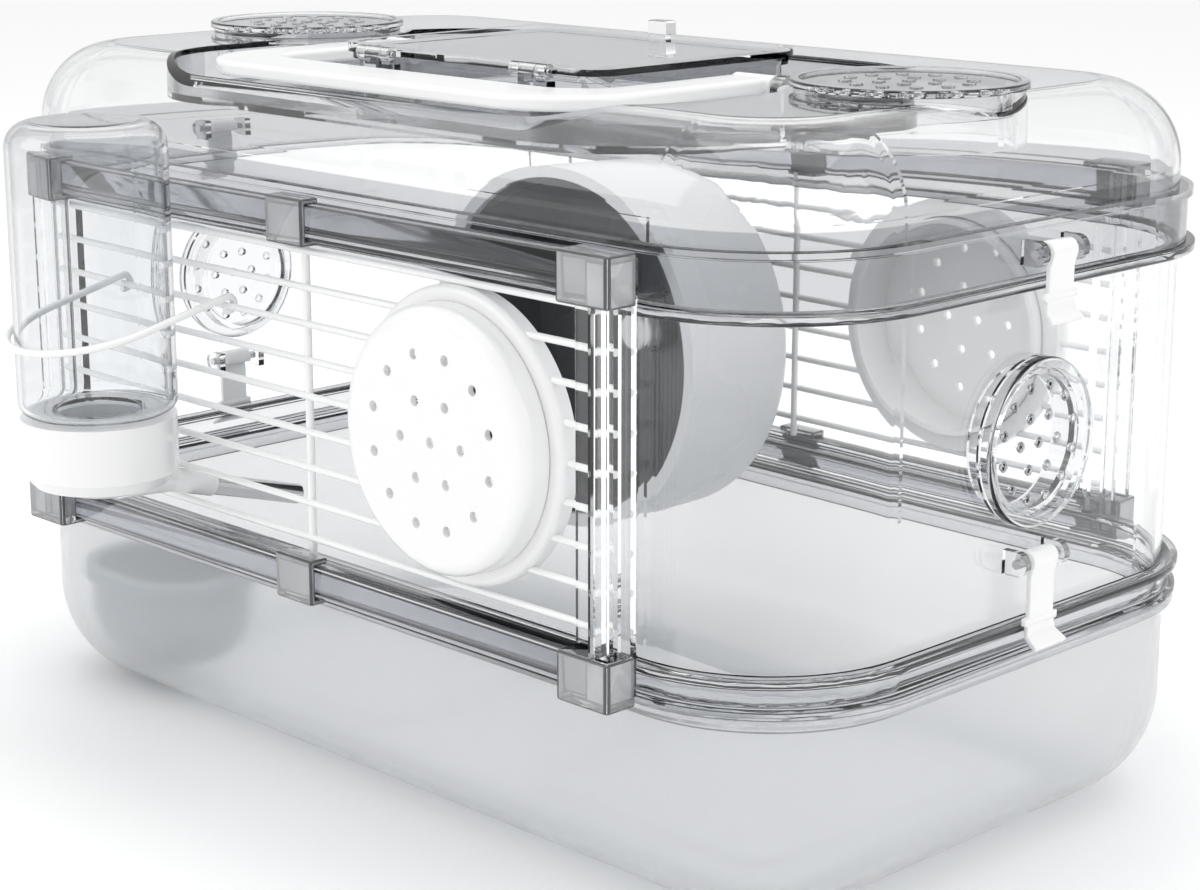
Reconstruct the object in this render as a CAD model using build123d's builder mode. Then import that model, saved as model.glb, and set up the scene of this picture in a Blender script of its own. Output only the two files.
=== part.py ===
from build123d import *
import os
from math import cos, radians, sin, tan

# A one-storey cage for small rodents: a milky tray, a clear middle frame with wire sides,
# and a clear lid with a hatch and a folding handle.  Millimetres, +X along the cage,
# -Y towards the front wires, +Z up.  The origin is the middle of the tray's underside.

os.makedirs("parts", exist_ok=True)

# ---------------------------------------------------------------- driving dimensions
LEDGE_X = 211.0           # half length over the ledges
LEDGE_Y = 123.0           # half depth over the ledges
LEDGE_R = 60.0            # plan radius of the ledges
CLEAR_WALL = 2.2          # wall of every clear moulding
GAP = 0.3                 # standing gap between bodies that part
RUNNING = 0.05            # radial clearance of a pin in its bore

TRAY_INSET = 4.5          # tray wall, in from the ledge edge
TRAY_TOP = 76.0
TRAY_ROUND = 40.0         # radius where the tray's wall turns into its floor
TRAY_WALL = 2.4
BOWL_AT = (-158.0, -72.0)
BOWL_SIZE = (70.0, 53.0, 26.0)      # length, depth and plan radius under the rim
BOWL_HEIGHT = 41.0
BOWL_LIP = 4.0

RIB = 2.5                 # height of each rib of a band
WEB_INSET = 3.0           # band web, in from the ledge edge
SHELL_INSET = 5.5         # end walls, in from the ledge edge
STEP_INSET = 9.5          # inner edge of the ledges
SKIRT_TOP = 88.5          # lower band of the middle frame
LEDGE_LOW = 196.0         # ledge that carries the lid
LEDGE_TOP = 199.0

POST_IN = 146.0           # posts: inner and outer X, back and front Y
POST_OUT = 154.0
POST_BACK = 123.5
POST_FRONT = 136.0
FLANGE_IN = 135.0         # clear flange that covers the ends of the wires
FLANGE_Y = (128.5, 130.5)
RAIL_FRONT = 131.5
LOW_RAIL = (79.0, 90.5)
HIGH_RAIL = (202.0, 213.5)
CLASP_WALL = 2.2

WIRE_R = 1.2
UPRIGHT_R = 1.4
WIRE_Y = 125.5            # plane of the level wires
WIRE_COUNT = 9
WIRE_PITCH = 12.4
WIRE_LOW = 97.8           # lowest wire

DOOR_X = 79.0             # round doors in the wire sides
DOOR_Z = 147.5
DOOR_RING = (48.4, 42.0)
DOOR_RING_Y = (122.0, 129.0)
DOOR_DISC_R = 43.5
DOOR_SPIGOT_R = 41.6
DOOR_FACE = 139.5
PORT_Z = 146.5            # round tube ports in the end walls
PORT_R = 24.0
PORT_CAP_R = 27.4

LID_INSET = 6.0           # lid wall, in from the ledge edge
LID_FOOT = 217.0
LID_TOP = 252.0
LID_ROUND = 28.0          # radius of the lid's shoulder
TOP_CAP_X = 153.5
TOP_CAP_R = 38.3
TOP_BOSS = (37.0, 33.0)
TOP_BOSS_Z = (236.0, 253.6)
PAN_X = 126.0             # recess in the lid for the handle
PAN_FRONT = 105.0
PAN_BACK = 62.0
PAN_R = 42.0
PAN_FLOOR = 239.0
HATCH_Y = -3.0            # middle of the hatch
HATCH_SIZE = (134.0, 104.0)
HATCH_BORE = (122.0, 92.0)
HATCH_Z = (253.6, 255.6, 257.0)     # underside, plate and rim
HATCH_PIN = (-58.7, 254.6)          # hinge axis, Y and Z
HATCH_PIN_R = 1.2
HANDLE_OUT = 100.0        # handle: half width outside and inside, crossbar front and back
HANDLE_IN = 82.0
HANDLE_FRONT = -102.0
HANDLE_BACK = -76.0
HANDLE_Z = (247.5, 252.5)
HANDLE_PIVOT = (-3.0, 248.5)
HANDLE_PIN_R = 2.0

CLIP_HALF = 8.5           # half width of a clip
CLIP_BARREL_R = 4.0
CLIP_PIN_R = 1.5
EAR_Y = (8.8, 11.6)
LID_PIVOT = (213.3, 208.0)          # X and Z of the clips on the lid's skirt
WALL_PIVOT = (210.9, 109.0)         # X and Z of the clips on the end walls
CLIP_ARM_X = (211.6, 213.8)

WHEEL_X = -44.0
WHEEL_Z = 134.0
WHEEL_R = 71.5
WHEEL_FACE = 33.0
WHEEL_BACK = 91.0
HUB_Y = (79.0, 95.0)
AXLE_R = 4.0

BOTTLE_X = -73.0
BOTTLE_Y = -160.0
BOTTLE_R = 27.5
BOTTLE_TOP = 237.0
NECK_R = 16.0
SPOUT_TILT = 16.0         # fall of the spout, in degrees
SPOUT_Z = WIRE_LOW + WIRE_PITCH / 2      # height of the spout's axis between the wires
SPOUT_R = 3.8
SPOUT_BORE = 3.1
BALL_R = 2.9
HOLDER_WIRE_R = 1.3
HOLDER_R = 30.3
HOLDER_TILT = 11.5


# ---------------------------------------------------------------- shared shapes
def plan(inset, mode=Mode.ADD):
    """Rounded plan of the cage, drawn in from the edge of the ledges."""
    return RectangleRounded(
        2 * (LEDGE_X - inset), 2 * (LEDGE_Y - inset), LEDGE_R - inset, mode=mode
    )


def band(low, high, outer, inner):
    """A level ring of the cage's plan, between two insets."""
    with BuildSketch(Plane.XY.offset(low)) as ring:
        plan(outer)
        plan(inner, Mode.SUBTRACT)
    extrude(ring.sketch, amount=high - low)


def block(x, y, z, mode=Mode.ADD):
    """A box between two values of X, of Y and of Z."""
    with Locations(((x[0] + x[1]) / 2, (y[0] + y[1]) / 2, (z[0] + z[1]) / 2)):
        Box(abs(x[1] - x[0]), abs(y[1] - y[0]), abs(z[1] - z[0]), mode=mode)


def rod_x(radius, x, y, z, mode=Mode.ADD):
    """A round bar along X."""
    with Locations(((x[0] + x[1]) / 2, y, z)):
        Cylinder(radius, abs(x[1] - x[0]), rotation=(0, 90, 0), mode=mode)


def rod_y(radius, x, y, z, mode=Mode.ADD):
    """A round bar along Y."""
    with Locations((x, (y[0] + y[1]) / 2, z)):
        Cylinder(radius, abs(y[1] - y[0]), rotation=(90, 0, 0), mode=mode)


def rod_z(radius, x, y, z, mode=Mode.ADD):
    """A round bar along Z."""
    with Locations((x, y, (z[0] + z[1]) / 2)):
        Cylinder(radius, abs(z[1] - z[0]), mode=mode)


def air_holes(centre, inner_ring, outer_ring, radius):
    """One hole in the middle, six round it and twelve round those."""
    with Locations(centre):
        Circle(radius)
        with PolarLocations(inner_ring, 6):
            Circle(radius)
        with PolarLocations(outer_ring, 12, start_angle=15):
            Circle(radius)


def save(piece, name):
    """Label a finished piece and write it out."""
    piece.part.label = name
    export_step(piece.part, f"parts/{name}.step")


# ---------------------------------------------------------------- tray and bowl
with BuildPart() as tray:
    with BuildSketch():
        plan(TRAY_INSET)
    extrude(amount=TRAY_TOP)
    fillet(tray.edges().group_by(Axis.Z)[0], TRAY_ROUND)
    offset(amount=-TRAY_WALL, openings=tray.faces().sort_by(Axis.Z)[-1])
    band(TRAY_TOP - RIB, TRAY_TOP, 1.0, TRAY_INSET + TRAY_WALL)
    # raised ribs stiffen the floor
    with BuildSketch(Plane.XY.offset(TRAY_WALL - 0.4)):
        for corner_x in (-1, 1):
            with Locations((corner_x * 95, 0)):
                RectangleRounded(120, 130, 20)
                RectangleRounded(114, 124, 17, mode=Mode.SUBTRACT)
    extrude(amount=1.4)
save(tray, "tray")

with BuildPart() as bowl:
    with BuildSketch(Plane.XY.offset(TRAY_WALL + 1.0 + GAP)):
        with Locations(BOWL_AT):
            RectangleRounded(*BOWL_SIZE)
    extrude(amount=BOWL_HEIGHT)
    fillet(bowl.edges().group_by(Axis.Z)[0], 24)
    offset(amount=-CLEAR_WALL, openings=bowl.faces().sort_by(Axis.Z)[-1])
    with BuildSketch(Plane.XY.offset(TRAY_WALL + 1.0 + GAP + BOWL_HEIGHT - 5)):
        with Locations(BOWL_AT):
            RectangleRounded(
                BOWL_SIZE[0] + 2 * BOWL_LIP,
                BOWL_SIZE[1] + 2 * BOWL_LIP,
                BOWL_SIZE[2] + BOWL_LIP,
            )
            RectangleRounded(
                BOWL_SIZE[0] - 2 * CLEAR_WALL,
                BOWL_SIZE[1] - 2 * CLEAR_WALL,
                BOWL_SIZE[2] - CLEAR_WALL,
                mode=Mode.SUBTRACT,
            )
    extrude(amount=5)
    fillet(bowl.edges().group_by(Axis.Z)[-1], 1.2)
save(bowl, "food_bowl")

# ---------------------------------------------------------------- middle frame
skirt_low = TRAY_TOP + GAP
with BuildPart() as skirt:
    band(skirt_low, skirt_low + RIB, 0.5, STEP_INSET)
    band(skirt_low, SKIRT_TOP, WEB_INSET, WEB_INSET + CLEAR_WALL)
    band(SKIRT_TOP - RIB, SKIRT_TOP, 0, SHELL_INSET + CLEAR_WALL)
    # a lip that drops inside the tray
    band(TRAY_TOP - 6, skirt_low + RIB, TRAY_INSET + TRAY_WALL + 0.5, STEP_INSET)
save(skirt, "frame_skirt")

with BuildPart() as ledge:
    band(LEDGE_LOW, LEDGE_TOP, 0, STEP_INSET)
    fillet(ledge.edges().filter_by(Plane.XY).group_by(Axis.Z)[-1], 0.5)
save(ledge, "lid_ledge")

for side, side_name in ((-1, "left"), (1, "right")):
    with BuildPart() as end_wall:
        band(SKIRT_TOP, LEDGE_LOW, SHELL_INSET, SHELL_INSET + CLEAR_WALL)
        split(
            bisect_by=Plane.YZ.offset(side * POST_IN),
            keep=Keep.TOP if side > 0 else Keep.BOTTOM,
        )
        for face in (-1, 1):
            # the post, open on its outer side
            block(
                (side * POST_IN, side * POST_OUT),
                (face * POST_BACK, face * POST_FRONT),
                (LOW_RAIL[0], HIGH_RAIL[1]),
            )
            block(
                (side * (POST_IN + 2.6), side * POST_OUT),
                (face * (POST_BACK + 2.6), face * (POST_FRONT - 2.6)),
                (LOW_RAIL[1] + 2, HIGH_RAIL[0] - 2),
                Mode.SUBTRACT,
            )
            # the web that joins the post to the wall
            block(
                (side * POST_IN, side * (POST_IN + 2.6)),
                (face * (LEDGE_Y - SHELL_INSET - CLEAR_WALL), face * POST_BACK),
                (SKIRT_TOP, LEDGE_LOW),
            )
            block(
                (side * FLANGE_IN, side * POST_IN),
                (face * FLANGE_Y[0], face * FLANGE_Y[1]),
                (LOW_RAIL[1], HIGH_RAIL[0]),
            )
            # ears for the clip's pin
            rod_y(
                CLIP_BARREL_R,
                side * WALL_PIVOT[0],
                (face * EAR_Y[0], face * EAR_Y[1]),
                WALL_PIVOT[1],
            )
            block(
                (side * (LEDGE_X - SHELL_INSET - 1), side * WALL_PIVOT[0]),
                (face * EAR_Y[0], face * EAR_Y[1]),
                (WALL_PIVOT[1] - CLIP_BARREL_R, WALL_PIVOT[1] + CLIP_BARREL_R),
            )
        rod_y(CLIP_PIN_R, side * WALL_PIVOT[0], (-EAR_Y[1], EAR_Y[1]), WALL_PIVOT[1], Mode.SUBTRACT)
        rod_x(PORT_R, (side * 190, side * LEDGE_X), 0, PORT_Z, Mode.SUBTRACT)
    save(end_wall, f"{side_name}_end_wall")

for face, face_name in ((-1, "front"), (1, "back")):
    with BuildPart() as low_rail:
        block((-POST_IN, POST_IN), (face * POST_BACK, face * RAIL_FRONT), LOW_RAIL)
        block(
            (-POST_IN, POST_IN),
            (face * (POST_BACK + 2), face * (RAIL_FRONT - 2)),
            (LOW_RAIL[0], LOW_RAIL[1] - 2),
            Mode.SUBTRACT,
        )
    save(low_rail, f"{face_name}_lower_rail")

    with BuildPart() as high_rail:
        block((-POST_IN, POST_IN), (face * POST_BACK, face * RAIL_FRONT), HIGH_RAIL)
        block(
            (-POST_IN, POST_IN),
            (face * (POST_BACK + 2), face * (RAIL_FRONT - 2)),
            (HIGH_RAIL[0] + 2, HIGH_RAIL[1]),
            Mode.SUBTRACT,
        )
    save(high_rail, f"{face_name}_upper_rail")

    with BuildPart() as clasps:
        for low, high in (LOW_RAIL, HIGH_RAIL):
            for side in (-1, 0, 1):
                if side == 0:
                    reach = (-9.5, 9.5)
                    front = RAIL_FRONT + CLASP_WALL
                else:
                    reach = (side * (FLANGE_IN - 1), side * (POST_OUT + CLASP_WALL))
                    front = POST_FRONT + CLASP_WALL
                block(
                    reach,
                    (face * (POST_BACK + 2.6), face * front),
                    (low - CLASP_WALL, high + CLASP_WALL),
                )
            block((-POST_IN, POST_IN), (face * POST_BACK, face * RAIL_FRONT), (low, high), Mode.SUBTRACT)
        for side in (-1, 1):
            block(
                (side * POST_IN, side * POST_OUT),
                (face * POST_BACK, face * POST_FRONT),
                (LOW_RAIL[0], HIGH_RAIL[1]),
                Mode.SUBTRACT,
            )
            block(
                (side * FLANGE_IN, side * POST_IN),
                (face * FLANGE_Y[0], face * FLANGE_Y[1]),
                (LOW_RAIL[1], HIGH_RAIL[0]),
                Mode.SUBTRACT,
            )
        chamfer(clasps.edges().filter_by(Axis.Z).group_by(Axis.Y)[-1 if face > 0 else 0], 0.8)
    save(clasps, f"{face_name}_clasps")

    with BuildPart() as wires:
        for row in range(WIRE_COUNT):
            rod_x(WIRE_R, (-POST_IN, POST_IN), face * WIRE_Y, WIRE_LOW + row * WIRE_PITCH)
        rod_z(UPRIGHT_R, 0, face * (WIRE_Y - 1), (LOW_RAIL[1], HIGH_RAIL[0]))
        rod_y(DOOR_RING[0], DOOR_X, (face * 120, face * 132), DOOR_Z, Mode.SUBTRACT)
    save(wires, f"{face_name}_wires")

    with BuildPart() as door_ring:
        rod_y(DOOR_RING[0], DOOR_X, (face * DOOR_RING_Y[0], face * DOOR_RING_Y[1]), DOOR_Z)
        fillet(door_ring.edges().group_by(Axis.Y)[-1 if face > 0 else 0], 2.5)
        rod_y(DOOR_RING[1], DOOR_X, (face * DOOR_RING_Y[0], face * DOOR_RING_Y[1]), DOOR_Z, Mode.SUBTRACT)
    save(door_ring, f"{face_name}_door_ring")

    with BuildPart() as door:
        rod_y(DOOR_DISC_R, DOOR_X, (face * (DOOR_RING_Y[1] + GAP), face * DOOR_FACE), DOOR_Z)
        fillet(door.edges().group_by(Axis.Y)[-1 if face > 0 else 0], 5)
        rod_y(DOOR_SPIGOT_R, DOOR_X, (face * 117.5, face * 129.5), DOOR_Z)
        rod_y(DOOR_SPIGOT_R - 2, DOOR_X, (face * 117.5, face * (DOOR_FACE - 2.2)), DOOR_Z, Mode.SUBTRACT)
        with BuildSketch(Plane.XZ.offset(-face * (DOOR_FACE + 1))):
            air_holes((DOOR_X, DOOR_Z), 14.3, 28.3, 1.8)
        extrude(amount=6 * face, mode=Mode.SUBTRACT)
    save(door, f"{face_name}_door")

for side, side_name in ((-1, "left"), (1, "right")):
    with BuildPart() as port_cap:
        rod_x(PORT_CAP_R, (side * (LEDGE_X - SHELL_INSET + GAP), side * LEDGE_X), 0, PORT_Z)
        fillet(port_cap.edges().group_by(Axis.X)[-1 if side > 0 else 0], 1.2)
        rod_x(PORT_CAP_R - 3.4, (side * (LEDGE_X - 1.6), side * LEDGE_X), 0, PORT_Z, Mode.SUBTRACT)
        rod_x(PORT_R - 0.4, (side * (LEDGE_X - 13), side * (LEDGE_X - 4)), 0, PORT_Z)
        rod_x(PORT_R - 2.4, (side * (LEDGE_X - 13), side * (LEDGE_X - 3.4)), 0, PORT_Z, Mode.SUBTRACT)
        with BuildSketch(Plane.YZ.offset(side * (LEDGE_X + 1))):
            air_holes((0, PORT_Z), 9.5, 18.5, 1.4)
        extrude(amount=-8 * side, mode=Mode.SUBTRACT)
    save(port_cap, f"{side_name}_port_cap")

# ---------------------------------------------------------------- wheel
with BuildPart() as bracket:
    block((WHEEL_X - 15, WHEEL_X + 15), (120.5, WIRE_Y - WIRE_R - 0.1), (118, 150))
    fillet(bracket.edges().filter_by(Axis.Y), 4)
    rod_y(8, WHEEL_X, (HUB_Y[1] + GAP, 121.0), WHEEL_Z)
    for row in (2, 4):
        wire_z = WIRE_LOW + row * WIRE_PITCH
        block((WHEEL_X - 10, WHEEL_X + 10), (WIRE_Y - 2, WIRE_Y + 3.4), (wire_z + 1.3, wire_z + 3.3))
        block((WHEEL_X - 10, WHEEL_X + 10), (WIRE_Y + 1.4, WIRE_Y + 3.4), (wire_z - 3, wire_z + 3.3))
    rod_y(AXLE_R, WHEEL_X, (92, 118), WHEEL_Z, Mode.SUBTRACT)
save(bracket, "wheel_bracket")

with BuildPart() as axle:
    rod_y(AXLE_R, WHEEL_X, (HUB_Y[0] - GAP - 2, 118), WHEEL_Z)
    rod_y(8, WHEEL_X, (HUB_Y[0] - GAP - 3.5, HUB_Y[0] - GAP), WHEEL_Z)
    fillet(axle.edges().group_by(Axis.Y)[0], 1.5)
save(axle, "wheel_axle")

with BuildPart() as wheel:
    rod_y(WHEEL_R, WHEEL_X, (WHEEL_FACE, WHEEL_BACK), WHEEL_Z)
    fillet(wheel.edges().group_by(Axis.Y)[-1], 6)
    rod_y(WHEEL_R - 2.5, WHEEL_X, (WHEEL_FACE, WHEEL_BACK - 2.5), WHEEL_Z, Mode.SUBTRACT)
    rod_y(9, WHEEL_X, HUB_Y, WHEEL_Z)
    # rolled lip round the open face
    with BuildSketch(Plane.XZ.offset(-WHEEL_FACE)):
        with Locations((WHEEL_X, WHEEL_Z)):
            Circle(WHEEL_R)
            Circle(WHEEL_R - 5, mode=Mode.SUBTRACT)
    extrude(amount=-3)
    rod_y(AXLE_R + RUNNING, WHEEL_X, HUB_Y, WHEEL_Z, Mode.SUBTRACT)
save(wheel, "running_wheel")


# ---------------------------------------------------------------- lid
def pan_outline(grow):
    """Outline of the handle's recess, which bends round the two top ports."""
    with Locations((0, (PAN_BACK - PAN_FRONT) / 2)):
        RectangleRounded(2 * (PAN_X + grow), PAN_FRONT + PAN_BACK + 2 * grow, PAN_R + grow)
    with Locations((-TOP_CAP_X, 0), (TOP_CAP_X, 0)):
        Circle(TOP_BOSS[0] + 5 - grow, mode=Mode.SUBTRACT)


with BuildPart() as lid_room:
    with BuildSketch(Plane.XY.offset(LID_FOOT - RIB - 1)):
        plan(LID_INSET + CLEAR_WALL)
    extrude(amount=LID_TOP - CLEAR_WALL - LID_FOOT + RIB + 1)
    fillet(lid_room.edges().group_by(Axis.Z)[-1], LID_ROUND - CLEAR_WALL)
    with BuildSketch(Plane.XY.offset(PAN_FLOOR - CLEAR_WALL)):
        pan_outline(CLEAR_WALL)
    extrude(amount=LID_TOP - PAN_FLOOR + CLEAR_WALL + 5, mode=Mode.SUBTRACT)

with BuildPart() as lid:
    with BuildSketch(Plane.XY.offset(LID_FOOT - RIB)):
        plan(LID_INSET)
    extrude(amount=LID_TOP - LID_FOOT + RIB)
    fillet(lid.edges().group_by(Axis.Z)[-1], LID_ROUND)
    add(lid_room.part, mode=Mode.SUBTRACT)
    with BuildSketch(Plane.XY.offset(PAN_FLOOR)):
        pan_outline(0)
    extrude(amount=LID_TOP - PAN_FLOOR + 5, mode=Mode.SUBTRACT)
    band(LEDGE_TOP + GAP, LID_FOOT, WEB_INSET, WEB_INSET + CLEAR_WALL)
    band(LID_FOOT - RIB, LID_FOOT, 1.5, LID_INSET + CLEAR_WALL)
    for side in (-1, 1):
        rod_z(TOP_BOSS[0], side * TOP_CAP_X, 0, TOP_BOSS_Z)
        rod_z(TOP_BOSS[1], side * TOP_CAP_X, 0, (TOP_BOSS_Z[0] - 6, TOP_BOSS_Z[1]), Mode.SUBTRACT)
    # the collar under the hatch
    collar_size = (HATCH_BORE[0] + 2 * CLEAR_WALL, HATCH_BORE[1] + 2 * CLEAR_WALL)
    with BuildSketch(Plane.XY.offset(PAN_FLOOR - CLEAR_WALL)):
        with Locations((0, HATCH_Y)):
            RectangleRounded(*collar_size, 7)
    extrude(amount=HATCH_Z[0] - GAP - PAN_FLOOR + CLEAR_WALL)
    with BuildSketch(Plane.XY.offset(HATCH_Z[0] - GAP - CLEAR_WALL)):
        with Locations((0, HATCH_Y)):
            RectangleRounded(HATCH_SIZE[0] - 3, HATCH_SIZE[1] - 3, 9)
    extrude(amount=CLEAR_WALL)
    with BuildSketch(Plane.XY.offset(PAN_FLOOR - CLEAR_WALL - 1)):
        with Locations((0, HATCH_Y)):
            RectangleRounded(*HATCH_BORE, 5)
    extrude(amount=30, mode=Mode.SUBTRACT)
    for side in (-1, 1):
        # hinge lug of the hatch
        block((side * 36.2, side * 43.8), (HATCH_PIN[0] - 2.6, HATCH_PIN[0] + 9.2), (246.5, 250.5))
        block((side * 36.2, side * 43.8), (HATCH_PIN[0] - 2.6, HATCH_PIN[0] + 2.6), (246.5, HATCH_PIN[1]))
        rod_x(2.6, (side * 36.2, side * 43.8), *HATCH_PIN)
        rod_x(HATCH_PIN_R + RUNNING, (side * 36.2, side * 43.8), *HATCH_PIN, Mode.SUBTRACT)
        # lug of the handle's pivot
        block(
            (side * (HANDLE_OUT + 1.3), side * (HANDLE_OUT + 6)),
            (HANDLE_PIVOT[0] - 5, HANDLE_PIVOT[0] + 5),
            (PAN_FLOOR - 1, HANDLE_PIVOT[1]),
        )
        rod_x(5, (side * (HANDLE_OUT + 1.3), side * (HANDLE_OUT + 6)), *HANDLE_PIVOT)
        rod_x(
            HANDLE_PIN_R,
            (side * (HANDLE_OUT + 1.3), side * (HANDLE_OUT + 6)),
            *HANDLE_PIVOT,
            Mode.SUBTRACT,
        )
        for face in (-1, 1):
            # ears for the clip's pin
            rod_y(CLIP_BARREL_R, side * LID_PIVOT[0], (face * EAR_Y[0], face * EAR_Y[1]), LID_PIVOT[1])
            block(
                (side * (LEDGE_X - WEB_INSET - 1), side * LID_PIVOT[0]),
                (face * EAR_Y[0], face * EAR_Y[1]),
                (LID_PIVOT[1] - CLIP_BARREL_R, LID_PIVOT[1] + CLIP_BARREL_R),
            )
        rod_y(CLIP_PIN_R, side * LID_PIVOT[0], (-EAR_Y[1], EAR_Y[1]), LID_PIVOT[1], Mode.SUBTRACT)
save(lid, "lid")

for side, side_name in ((-1, "left"), (1, "right")):
    with BuildPart() as top_cap:
        rod_z(TOP_CAP_R, side * TOP_CAP_X, 0, (TOP_BOSS_Z[1] + GAP, 256.2))
        fillet(top_cap.edges().group_by(Axis.Z)[-1], 0.8)
        rod_z(TOP_CAP_R - 3, side * TOP_CAP_X, 0, (255.2, 256.2), Mode.SUBTRACT)
        rod_z(TOP_BOSS[1] - 0.4, side * TOP_CAP_X, 0, (245, 254.2))
        rod_z(TOP_BOSS[1] - 2.6, side * TOP_CAP_X, 0, (245, 253.2), Mode.SUBTRACT)
        with BuildSketch(Plane.XY.offset(257)):
            air_holes((side * TOP_CAP_X, 0), 10.3, 20.5, 1.8)
        extrude(amount=-5, mode=Mode.SUBTRACT)
    save(top_cap, f"{side_name}_top_cap")

with BuildPart() as hatch:
    with BuildSketch(Plane.XY.offset(HATCH_Z[0])):
        with Locations((0, HATCH_Y)):
            RectangleRounded(*HATCH_SIZE, 10)
    extrude(amount=HATCH_Z[2] - HATCH_Z[0])
    with BuildSketch(Plane.XY.offset(HATCH_Z[1])):
        with Locations((0, HATCH_Y)):
            RectangleRounded(HATCH_SIZE[0] - 7, HATCH_SIZE[1] - 7, 7)
    extrude(amount=HATCH_Z[2] - HATCH_Z[1], mode=Mode.SUBTRACT)
    # finger knob at the rear edge
    block((-4.5, 4.5), (42.5, 48.0), (HATCH_Z[0], 262.5))
    fillet(hatch.edges().group_by(Axis.Z)[-1], 0.8)
    for centre in (-46.4, -33.6, 33.6, 46.4):
        block((centre - 2.2, centre + 2.2), (HATCH_PIN[0], HATCH_PIN[0] + 5.2), (HATCH_Z[0], HATCH_Z[1]))
        rod_x(2.6, (centre - 2.2, centre + 2.2), *HATCH_PIN)
        rod_x(HATCH_PIN_R, (centre - 2.2, centre + 2.2), *HATCH_PIN, Mode.SUBTRACT)
save(hatch, "hatch")

with BuildPart() as hatch_pins:
    for side in (-1, 1):
        rod_x(HATCH_PIN_R, (side * 31, side * 49), *HATCH_PIN)
save(hatch_pins, "hatch_pins")

with BuildPart() as handle:
    with BuildSketch(Plane.XY.offset(HANDLE_Z[0])):
        with Locations((0, HANDLE_FRONT + 60)):
            RectangleRounded(2 * HANDLE_OUT, 120, 34)
        with Locations((0, HANDLE_BACK + 60)):
            RectangleRounded(2 * HANDLE_IN, 120, 18, mode=Mode.SUBTRACT)
        with Locations((0, HANDLE_PIVOT[0] + 50)):
            Rectangle(400, 100, mode=Mode.SUBTRACT)
    extrude(amount=HANDLE_Z[1] - HANDLE_Z[0])
    fillet(handle.edges().group_by(Axis.Z)[-1], 1.8)
    fillet(handle.edges().group_by(Axis.Z)[0], 1.2)
    for side in (-1, 1):
        rod_x(4.5, (side * (HANDLE_IN + 0.2), side * (HANDLE_OUT - 0.2)), *HANDLE_PIVOT)
        rod_x(
            HANDLE_PIN_R + RUNNING,
            (side * (HANDLE_IN - 1), side * (HANDLE_OUT + 1)),
            *HANDLE_PIVOT,
            Mode.SUBTRACT,
        )
save(handle, "carry_handle")

with BuildPart() as handle_pins:
    for side in (-1, 1):
        rod_x(HANDLE_PIN_R, (side * (HANDLE_IN + 2), side * (HANDLE_OUT + 6)), *HANDLE_PIVOT)
save(handle_pins, "handle_pins")

# ---------------------------------------------------------------- clips
for level, pivot, arm_end, tail in (
    ("lid", LID_PIVOT, 193.0, (217.0, 185.5)),
    ("wall", WALL_PIVOT, 88.0, (216.0, 80.5)),
):
    for side, side_name in ((-1, "left"), (1, "right")):
        with BuildPart() as clip:
            with BuildSketch(Plane.XZ.offset(-CLIP_HALF)):
                with BuildLine():
                    Polyline(
                        (side * CLIP_ARM_X[0], pivot[1] - 2),
                        (side * CLIP_ARM_X[0], arm_end),
                        (side * tail[0], tail[1]),
                        (side * (tail[0] + 1.8), tail[1] + 1),
                        (side * CLIP_ARM_X[1], arm_end + 1),
                        (side * CLIP_ARM_X[1], pivot[1] - 2),
                        close=True,
                    )
                make_face()
            extrude(amount=2 * CLIP_HALF)
            rod_y(CLIP_BARREL_R, side * pivot[0], (-CLIP_HALF, CLIP_HALF), pivot[1])
            rod_y(CLIP_PIN_R + RUNNING, side * pivot[0], (-CLIP_HALF, CLIP_HALF), pivot[1], Mode.SUBTRACT)
        save(clip, f"{side_name}_{level}_clip")

    with BuildPart() as clip_pins:
        for side in (-1, 1):
            rod_y(CLIP_PIN_R, side * pivot[0], (-EAR_Y[1], EAR_Y[1]), pivot[1])
    save(clip_pins, f"{level}_clip_pins")

# ---------------------------------------------------------------- water bottle
with BuildPart() as reservoir:
    rod_z(BOTTLE_R, BOTTLE_X, BOTTLE_Y, (135.5, BOTTLE_TOP))
    fillet(reservoir.edges().group_by(Axis.Z)[-1], 9)
    fillet(reservoir.edges().group_by(Axis.Z)[0], 5)
    rod_z(NECK_R, BOTTLE_X, BOTTLE_Y, (124.5, 137))
    offset(amount=-1.6, openings=reservoir.faces().sort_by(Axis.Z)[0])
save(reservoir, "bottle_reservoir")

with BuildPart() as seal:
    rod_z(NECK_R, BOTTLE_X, BOTTLE_Y, (123, 124.5))
    rod_z(NECK_R - 4, BOTTLE_X, BOTTLE_Y, (123, 124.5), Mode.SUBTRACT)
save(seal, "bottle_seal")

fall = radians(SPOUT_TILT)
spout_start = (BOTTLE_X, BOTTLE_Y + 8, SPOUT_Z + (-WIRE_Y - BOTTLE_Y - 8) * tan(fall))
spout_plane = Plane(origin=spout_start, x_dir=(1, 0, 0), z_dir=(0, cos(fall), -sin(fall)))
cone_length = 22.0
nozzle_length = 40.0
tube_from = 30.0
tube_to = 81.0

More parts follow.
